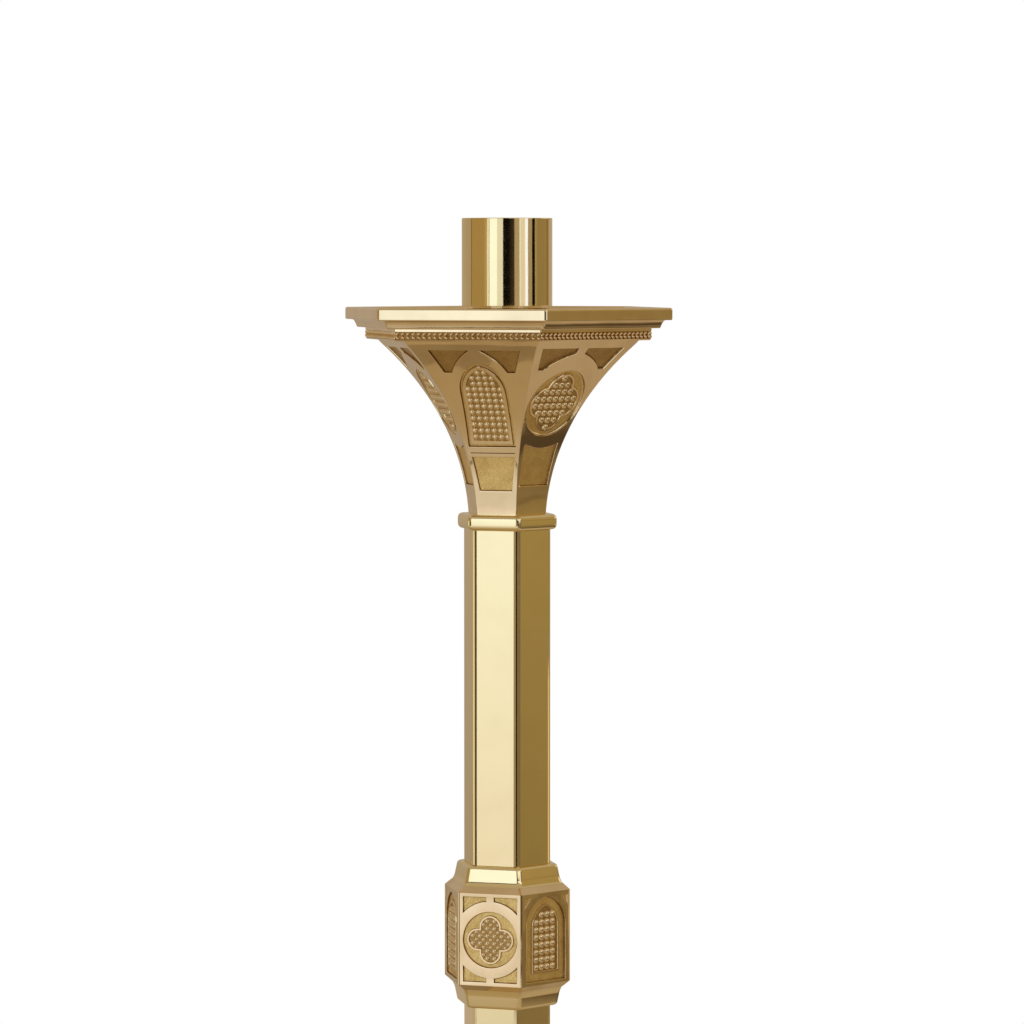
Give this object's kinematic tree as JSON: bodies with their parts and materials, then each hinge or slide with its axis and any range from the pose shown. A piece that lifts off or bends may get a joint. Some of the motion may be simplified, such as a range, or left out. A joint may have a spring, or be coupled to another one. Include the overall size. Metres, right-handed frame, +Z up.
{
  "type": "floor candlestick",
  "caption": "Tall hexagonal gothic brass floor candlestick: round candle socket, wide drip pan, flared panelled capital, stem with panelled knops, flared stepped foot.",
  "frame": {"origin": "on the floor, at the centre of the foot", "axes": "+Z up the stem to the candle; two opposite corners of every hexagon on the X axis, two opposite faces looking along Y; the picture's widest face looks along -Y"},
  "size_m": [0.2998, 0.2596, 1.1184],
  "materials": {
    "polished_brass": "mirror polished and lacquered, with satin stippled grounds in the sunk panels",
    "steel_hardware": "zinc plated threaded rod, nuts, washers and screws",
    "cast_iron_ballast": "as cast, dark",
    "painted_cover": "black satin paint",
    "rubber_pads": "matte black"
  },
  "bodies": {
    "root": {"capital_bead_moulding": "polished_brass", "base_bead_moulding": "polished_brass", "capital": "polished_brass", "upper_astragal": "polished_brass", "base_astragal": "polished_brass", "shaft_lower": "polished_brass", "shaft_middle": "polished_brass", "shaft_upper": "polished_brass", "knop_upper_bottom_collar": "polished_brass", "knop_upper_body": "polished_brass", "knop_upper_top_collar": "polished_brass", "knop_lower_bottom_collar": "polished_brass", "knop_lower_body": "polished_brass", "knop_lower_top_collar": "polished_brass", "base_flare": "polished_brass", "base_plinth": "polished_brass", "capital_nut_washer": "steel_hardware", "capital_nut": "steel_hardware", "base_nut_washer": "steel_hardware", "base_nut": "steel_hardware", "tie_rod": "steel_hardware", "cover_screw_1": "steel_hardware", "cover_screw_2": "steel_hardware", "cover_screw_3": "steel_hardware", "ballast_weight": "cast_iron_ballast", "cover_plate": "painted_cover", "base_pad_1": "rubber_pads", "base_pad_2": "rubber_pads", "base_pad_3": "rubber_pads", "base_pad_4": "rubber_pads", "base_pad_5": "rubber_pads", "base_pad_6": "rubber_pads"},
    "pan": {"drip_pan": "polished_brass"},
    "washer": {"socket_washer": "polished_brass"},
    "socket": {"socket_tube": "polished_brass", "socket_floor": "polished_brass"}
  },
  "joints": [
    {"name": "pan_lift", "type": "slide", "parent": "root", "child": "pan", "axis": [0, 0, 1], "range_m": [0, 0.045]},
    {"name": "socket_rise", "type": "slide", "parent": "pan", "child": "washer", "axis": [0, 0, 1], "range_m": [0, 0.006]},
    {"name": "socket_turn", "type": "hinge", "parent": "washer", "child": "socket", "pos_m": [0, 0, 1.068], "axis": [0, 0, 1], "range_deg": [0, 1440]}
  ],
  "couplings": [
    {"joint": "socket_rise", "follows": "socket_turn", "m_per_rad": 0.00023873}
  ]
}
